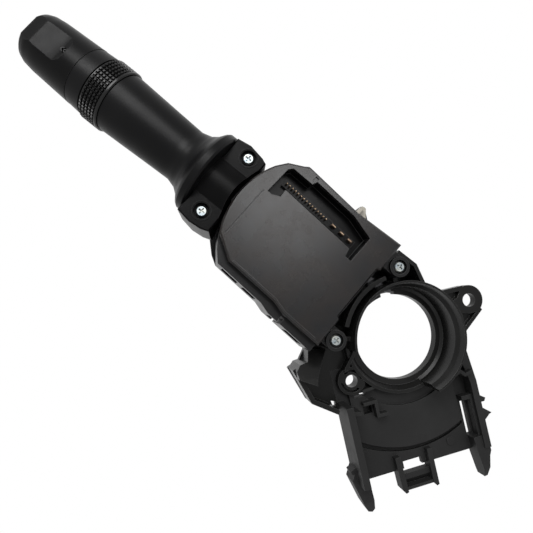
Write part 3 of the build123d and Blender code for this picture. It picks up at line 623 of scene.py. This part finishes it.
@dataclass
class Workpiece:
    """A mesh being made in its own frame, in millimetres.

    Attributes:
        name: name of the object to be made.
        frame: the mesh's own frame, which is the lever's unless another is given.
        shell: the mesh so far.
    """

    name: str
    frame: Matrix = field(default_factory=lambda: LeverAxis().matrix())
    shell: bmesh.types.BMesh = field(default_factory=bmesh.new)

    def turned(self, outline: Sequence[Point], steps: int) -> None:
        """Turns a closed outline of station and radius about the lever axis.

        Args:
            outline: points of the outline, in order.
            steps: faces round the axis.
        """
        verts = [self.shell.verts.new((s, 0.0, r)) for s, r in outline]
        edges = [self.shell.edges.new((a, b)) for a, b in zip(verts, verts[1:] + verts[:1])]
        bmesh.ops.spin(
            self.shell, geom=verts + edges, cent=(0.0, 0.0, 0.0), axis=(1.0, 0.0, 0.0),
            dvec=(0.0, 0.0, 0.0), angle=math.tau, steps=steps, use_merge=True, use_duplicate=False,
        )

    def studs(self, stations: Sequence[float], count: int, foot: Point, tip: Point) -> None:
        """Adds rows of small flat-topped pyramids round the axis.

        Args:
            stations: middle of each row along the axis.
            count: pyramids in a row.
            foot: radius and half width of a pyramid's foot.
            tip: radius and half width of its flat top.
        """
        for row in stations:
            for k in range(count):
                turn = Matrix.Rotation(math.tau * k / count, 3, "X")
                rings = []
                for r, h in (foot, tip):
                    corners = ((-h, -h), (h, -h), (h, h), (-h, h))
                    places = (turn @ Vector((row + u, v, r)) for u, v in corners)
                    rings.append([self.shell.verts.new(place) for place in places])
                low, high = rings
                self.shell.faces.new(high)
                for i in range(4):
                    j = (i + 1) % 4
                    self.shell.faces.new((low[i], low[j], high[j], high[i]))

    def plate(self, points: Sequence[Point], low: float, high: float) -> None:
        """Adds a flat plate.

        Args:
            points: its outline, as station and side offset.
            low: height of its underside.
            high: height of its top.
        """
        lower = [self.shell.verts.new((u, v, low)) for u, v in points]
        upper = [self.shell.verts.new((u, v, high)) for u, v in points]
        self.shell.faces.new(list(reversed(lower)))
        self.shell.faces.new(upper)
        for i in range(len(points)):
            j = (i + 1) % len(points)
            self.shell.faces.new((lower[i], lower[j], upper[j], upper[i]))

    def band(self, centre: Point, radii: Point, low: float, high: float) -> None:
        """Adds a flat ring made of short plates.

        Args:
            centre: station and side offset of its middle.
            radii: inner and outer radius.
            low: height of its underside.
            high: height of its top.
        """
        x, y = centre
        corners = []
        for k in range(BAND_STEPS):
            turn = math.tau * k / BAND_STEPS
            rim = [(x + r * math.cos(turn), y + r * math.sin(turn)) for r in radii]
            corners.append([self.shell.verts.new((*xy, z)) for z in (low, high) for xy in rim])
        for here, after in zip(corners, corners[1:] + corners[:1]):
            for i, j in ((0, 1), (1, 3), (3, 2), (2, 0)):
                self.shell.faces.new((here[i], here[j], after[j], after[i]))

    def finished(self, crease: float) -> bpy.types.Object:
        """Moves the mesh to the row frame and makes its object.

        Args:
            crease: angle in degrees over which an edge stays sharp.

        Returns:
            The new object, linked into the scene.
        """
        bmesh.ops.recalc_face_normals(self.shell, faces=self.shell.faces)
        self.shell.transform(self.frame @ Matrix.Scale(MILLIMETRE, 4))
        limit = math.radians(crease)
        for face in self.shell.faces:
            face.smooth = True
        for edge in self.shell.edges:
            edge.smooth = edge.is_manifold and edge.calc_face_angle(0.0) < limit
        mesh = bpy.data.meshes.new(self.name)
        self.shell.to_mesh(mesh)
        self.shell.free()
        made = bpy.data.objects.new(self.name, mesh)
        bpy.context.scene.collection.objects.link(made)
        return made


@dataclass
class ColumnBracket(SubAssembly):
    """Ring, ear, guard and receptacle tray."""

    nodes: tuple[str, ...] = ("column_ring", "receptacle_tray")
    special: Mapping[str, str] = field(
        default_factory=lambda: {"column_ring": "ring_plastic"},
    )


@dataclass
class SwitchHousing(SubAssembly):
    """Tub, cover, clip and the screws that hold them to the ring.

    Attributes:
        pivot: the lever's pivot, in millimetres like the rest.
        lip_radii: outer and inner radius of the lip's arc about the pivot.
        lip_start: angle in degrees at which the arc starts.
        lip_sweep: degrees that it sweeps.
        lip_steps: straight pieces in the arc.
        lip_heights: underside and top of the lip.
        lip_corner: points of the lip between the two arcs.
    """

    nodes: tuple[str, ...] = ("switch_housing", "housing_cover", "cover_screws", "locking_clip")
    pivot: Point = (-57.5, -2.0)
    lip_radii: Point = (39.5, 35.0)
    lip_start: float = -14.0
    lip_sweep: float = 40.0
    lip_steps: int = 12
    lip_heights: Point = (-1.2, 0.02)
    lip_corner: tuple[Point, ...] = (
        (-92.2, -22.0), (-86.2, -27.4), (-81.9, -29.8), (-78.0, -29.9), (-80.0, -26.0),
    )

    def arc(self, radius: float) -> list[Point]:
        """Finds points of the lip's arc about the pivot.

        Args:
            radius: the arc's radius.

        Returns:
            The points, from the start of the sweep to its end.
        """
        x, y = self.pivot
        points = []
        for k in range(self.lip_steps + 1):
            turn = math.radians(self.lip_start + self.lip_sweep * k / self.lip_steps)
            points.append((x - radius * math.cos(turn), y - radius * math.sin(turn)))
        return points

    def lip(self) -> bpy.types.Object:
        """Builds the thin lip under the tub's nose that closes the view past the neck.

        Returns:
            The lip, riding on the base.
        """
        work = Workpiece("nose_lip", Matrix.Identity(4))
        outer, inner = (self.arc(radius) for radius in self.lip_radii)
        work.plate(outer + list(self.lip_corner) + inner[::-1], *self.lip_heights)
        made = work.finished(self.made_crease)
        made.data.materials.append(self.rack.material("housing_plastic"))
        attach(made, "base")
        return made

    def dress(self) -> None:
        """Dresses the housing's pieces and adds the lip."""
        super().dress()
        LOG.info("nose lip: %d faces", len(self.lip().data.polygons))


@dataclass
class Connector(SubAssembly):
    """Socket with its small pins and blades."""

    nodes: tuple[str, ...] = ("connector_shroud", "signal_pins", "power_pins")
    special: Mapping[str, str] = field(
        default_factory=lambda: {"connector_shroud": "socket_plastic"},
    )


@dataclass
class TurnMechanism(SubAssembly):
    """Pieces inside the housing that follow the lever."""

    nodes: tuple[str, ...] = (
        "contact_board", "contact_strips", "pivot_pin", "pawl_pin", "detent_block", "turn_carrier",
        "hinge_pin", "detent_spring", "detent_plunger", "turn_slider", "turn_wipers", "beam_slider",
        "beam_wiper", "cancel_pawl",
    )


@dataclass
class LeverArm(SubAssembly):
    """Neck, cap, tube, core and collar of the lever.

    Attributes:
        screw_places: the two sunk screws, in millimetres in the row frame.
        screw_level: height of the point that is carried to the lever's frame.
        rim_radii: inner and outer radius of a rim.
        rim_heights: underside and top of a rim, in the lever's frame.
    """

    nodes: tuple[str, ...] = (
        "lever_neck", "neck_cap", "neck_screws", "lever_tube", "lever_core", "head_board",
        "knob_tracks", "symbol_collar",
    )
    special: Mapping[str, str] = field(
        default_factory=lambda: {"lever_neck": "neck_plastic", "neck_cap": "neck_plastic"},
    )
    screw_places: tuple[Point, ...] = ((-100.8, 10.2), (-100.5, -18.6))
    screw_level: float = 20.0
    rim_radii: Point = (3.75, 4.15)
    rim_heights: Point = (9.0, 9.42)

    def rims(self) -> bpy.types.Object:
        """Builds the low round rims about the two sunk screws.

        Returns:
            Both rims as one piece, riding on the lever.
        """
        work = Workpiece("screw_rims")
        back = LeverAxis().matrix().inverted()
        level = self.screw_level * MILLIMETRE
        for x, y in self.screw_places:
            spot = back @ Vector((x * MILLIMETRE, y * MILLIMETRE, level))
            middle = (spot.x / MILLIMETRE, spot.y / MILLIMETRE)
            work.band(middle, self.rim_radii, *self.rim_heights)
        made = work.finished(self.made_crease)
        made.data.materials.append(self.rack.material("lever_plastic"))
        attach(made, "lever")
        return made

    def dress(self) -> None:
        """Dresses the lever's pieces and adds the rims."""
        super().dress()
        LOG.info("screw rims: %d faces", len(self.rims().data.polygons))


@dataclass
class RingSwitch(SubAssembly):
    """Ring with its rows of small pyramids, and its wipers.

    Its sizes are in millimetres, and a station is a place along the lever's axis.

    Attributes:
        start: station of the ring's inner end.
        end: station of its outer end.
        hub: length of the hub that runs back into the tube.
        bore: radius of its hole.
        skirt: outer radius of the hub.
        valley: radius between the pyramids.
        crest: radius of the pyramids' tops and of the plain band.
        chamfer: cut at the outer end.
        band_foot: width of the plain band at its foot.
        band_top: its width at its top.
        band_edge: how far its inner edge is cut back.
        shoulder: width of the band at its shoulder, and how far that is below the top.
        rows: rows of pyramids.
        pitch: distance between rows.
        studs: pyramids in a row.
        foot: half width of a pyramid's foot.
        tip: half width of a pyramid's top.
        sunk: how far a pyramid's foot is sunk in the ring.
    """

    nodes: tuple[str, ...] = ("ring_wipers",)
    made_crease: float = 24.0
    start: float = 87.95
    end: float = 98.0
    hub: float = 4.4
    bore: float = 6.05
    skirt: float = 9.6
    valley: float = 13.7
    crest: float = 14.5
    chamfer: float = 0.35
    band_foot: float = 1.42
    band_top: float = 1.14
    band_edge: float = 0.4
    shoulder: Point = (1.24, 0.06)
    rows: int = 5
    pitch: float = 1.6
    studs: int = 54
    foot: float = 0.76
    tip: float = 0.34
    sunk: float = 0.05

    def outline(self) -> list[Point]:
        """Draws the ring's half section.

        Returns:
            Its points, as station and radius.
        """
        s0, s1 = self.start, self.end
        width, drop = self.shoulder
        return [
            (s0 - self.hub, self.bore), (s1, self.bore), (s1, self.valley - self.chamfer),
            (s1 - self.chamfer, self.valley), (s0 + self.band_foot, self.valley),
            (s0 + width, self.crest - drop), (s0 + self.band_top, self.crest),
            (s0 + self.band_edge, self.crest), (s0, self.crest - self.band_edge),
            (s0, self.skirt), (s0 - self.hub, self.skirt),
        ]

    def grip(self) -> bpy.types.Object:
        """Builds the grip ring with its pyramids and fits it over its node.

        Returns:
            The ring, riding on its own body.
        """
        work = Workpiece("grip_ring")
        work.turned(self.outline(), self.studs * 2)
        first = self.start + self.band_foot + self.pitch / 2
        stations = [first + self.pitch * k for k in range(self.rows)]
        foot, tip = (self.valley - self.sunk, self.foot), (self.crest, self.tip)
        work.studs(stations, self.studs, foot, tip)
        ring = work.finished(self.made_crease)
        ring.data.materials.append(self.rack.material("knurl_plastic"))
        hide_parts("knurled_ring")
        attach(ring, "fog_ring")
        return ring

    def dress(self) -> None:
        """Fits the grip ring and dresses the wipers."""
        super().dress()
        LOG.info("grip ring: %d faces", len(self.grip().data.polygons))


@dataclass
class EndKnob(SubAssembly):
    """Turning knob with its shaft, rotor, wipers and pointer mark.

    Attributes:
        mark_station: station in millimetres of the pointer's small ring.
        mark_radii: inner and outer radius of that ring.
        mark_heights: underside and top of the pointer.
        arrow: half of the arrow, as distance past the small ring's middle and side offset.
    """

    nodes: tuple[str, ...] = ("light_knob", "knob_shaft", "knob_rotor", "rotor_wipers")
    crease: float = 19.0
    special: Mapping[str, str] = field(default_factory=lambda: {"light_knob": "knob_plastic"})
    mark_station: float = 112.9
    mark_radii: Point = (0.385, 0.7)
    mark_heights: Point = (11.55, 12.55)
    arrow: tuple[Point, ...] = ((2.3, 0.0), (1.1, 1.1), (0.7, 1.1), (1.8, 0.0))

    def pointer(self) -> bpy.types.Object:
        """Builds the small ring and arrow at the end of the thumb flat.

        Returns:
            The pointer, riding on the knob.
        """
        work = Workpiece("knob_pointer")
        work.band((self.mark_station, 0.0), self.mark_radii, *self.mark_heights)
        for side in (-1.0, 1.0):
            barb = [(self.mark_station + reach, side * out) for reach, out in self.arrow]
            work.plate(barb, *self.mark_heights)
        mark = work.finished(self.made_crease)
        mark.data.materials.append(self.rack.material("housing_plastic"))
        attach(mark, "end_knob")
        return mark

    def dress(self) -> None:
        """Dresses the knob's pieces and adds the pointer."""
        super().dress()
        LOG.info("pointer: %d faces", len(self.pointer().data.polygons))


@dataclass(frozen=True)
class SoftBox:
    """A square lamp aimed at the part.

    Attributes:
        name: the lamp's name.
        place: its place in metres.
        side: its side in metres.
        power: its power in watts.
    """

    name: str
    place: Triple
    side: float
    power: float

    def hang(self, target: Vector) -> bpy.types.Object:
        """Puts the lamp up, aimed at a point.

        Args:
            target: the point that the lamp faces.

        Returns:
            The lamp's object.
        """
        data = bpy.data.lights.new(self.name, "AREA")
        data.shape = "SQUARE"
        data.size = self.side
        data.energy = self.power
        lamp = bpy.data.objects.new(self.name, data)
        bpy.context.scene.collection.objects.link(lamp)
        lamp.location = self.place
        lamp.rotation_euler = (target - Vector(self.place)).to_track_quat("-Z", "Y").to_euler()
        return lamp


@dataclass
class Studio:
    """Camera, lamps and pale surroundings, in metres.

    Attributes:
        lens: focal length in millimetres.
        sensor: width of the sensor in millimetres.
        clip: nearest and farthest distance that the camera sees.
        eye: the camera's place.
        right: direction to the right of the picture.
        up: direction to its top.
        back: direction away from what it looks at.
        floor_z: height of the floor.
        floor_half: half the floor's side.
        floor_colour: colour of the floor as the part sees it.
        floor_rough: the floor's roughness.
        ambient: strength of the world's light.
        lamps: the lamps.
    """

    lens: float = 32.75
    sensor: float = 36.0
    clip: Point = (0.005, 20.0)
    eye: Triple = (-0.08213, -0.04537, 0.21269)
    right: Triple = (0.7432, 0.6512, 0.1538)
    up: Triple = (-0.6642, 0.7457, 0.0519)
    back: Triple = (-0.0809, -0.1407, 0.9867)
    floor_z: float = -0.30
    floor_half: float = 4.0
    floor_colour: tuple[float, float, float, float] = (0.9, 0.9, 0.9, 1.0)
    floor_rough: float = 0.8
    ambient: float = 0.30
    lamps: tuple[SoftBox, ...] = (
        SoftBox("sky_lamp", (-0.09, 0.29, 0.92), 0.29, 2.8),
        SoftBox("key_lamp", (-0.66, 0.26, 0.77), 0.56, 8.4),
        SoftBox("far_lamp", (-0.86, 0.13, 0.62), 0.26, 1.6),
        SoftBox("fill_lamp", (0.30, -0.60, 0.70), 0.50, 0.9),
    )

    def camera(self) -> None:
        """Places the camera where the photograph was taken from."""
        data = bpy.data.cameras.new("photo_camera")
        data.lens = self.lens
        data.sensor_width = self.sensor
        data.clip_start, data.clip_end = self.clip
        camera = bpy.data.objects.new("photo_camera", data)
        bpy.context.scene.collection.objects.link(camera)
        turn = Matrix((self.right, self.up, self.back)).transposed().to_4x4()
        camera.matrix_world = Matrix.Translation(self.eye) @ turn
        bpy.context.scene.camera = camera

    def surroundings(self) -> None:
        """Makes the white world that the camera sees."""
        world = bpy.data.worlds.new("pale_world")
        bpy.context.scene.world = world
        world.use_nodes = True
        sheet = NodeSheet(world.node_tree)
        seen = sheet.node("ShaderNodeBackground", {}, {"Color": WHITE, "Strength": 1.0})
        light = sheet.node("ShaderNodeBackground", {}, {"Color": WHITE, "Strength": self.ambient})
        inputs = {0: sheet.seen_ray(), 1: light.outputs[0], 2: seen.outputs[0]}
        mix = sheet.node("ShaderNodeMixShader", {}, inputs)
        sheet.node("ShaderNodeOutputWorld", {}, {"Surface": mix.outputs[0]})

    def floor(self) -> None:
        """Lays a pale floor well below the part."""
        mesh = bpy.data.meshes.new("studio_floor")
        slab = bmesh.new()
        bmesh.ops.create_grid(slab, x_segments=1, y_segments=1, size=self.floor_half)
        bmesh.ops.translate(slab, vec=(0.0, 0.0, self.floor_z), verts=slab.verts)
        slab.to_mesh(mesh)
        slab.free()
        floor = bpy.data.objects.new("studio_floor", mesh)
        bpy.context.scene.collection.objects.link(floor)
        sheet = ShaderSheet("studio_white")
        sheet.shader.inputs["Base Color"].default_value = self.floor_colour
        sheet.shader.inputs["Roughness"].default_value = self.floor_rough
        glow = sheet.node("ShaderNodeEmission", {}, {"Color": WHITE, "Strength": 1.0})
        inputs = {0: sheet.seen_ray(), 1: sheet.shader.outputs[0], 2: glow.outputs[0]}
        mix = sheet.node("ShaderNodeMixShader", {}, inputs)
        sheet.feed(sheet.output.inputs["Surface"], mix.outputs[0])
        mesh.materials.append(sheet.material)

    def build(self) -> None:
        """Sets up the whole studio."""
        self.camera()
        self.surroundings()
        self.floor()
        low, high = CAD_BOX
        centre = (Vector(low) + Vector(high)) / 2
        for lamp in self.lamps:
            lamp.hang(centre)
        bpy.context.scene.view_settings.view_transform = "Standard"


def main() -> None:
    """Dresses every sub-assembly and sets up the studio."""
    logging.basicConfig(level=logging.INFO, format="%(name)s %(message)s")
    rack = FinishRack()
    rack.fill()
    groups = (ColumnBracket, SwitchHousing, Connector, TurnMechanism, LeverArm, RingSwitch, EndKnob)
    for group in groups:
        group(rack).dress()
        LOG.info("%s dressed", group.__name__)
    Studio().build()


if __name__ == "__main__":
    main()
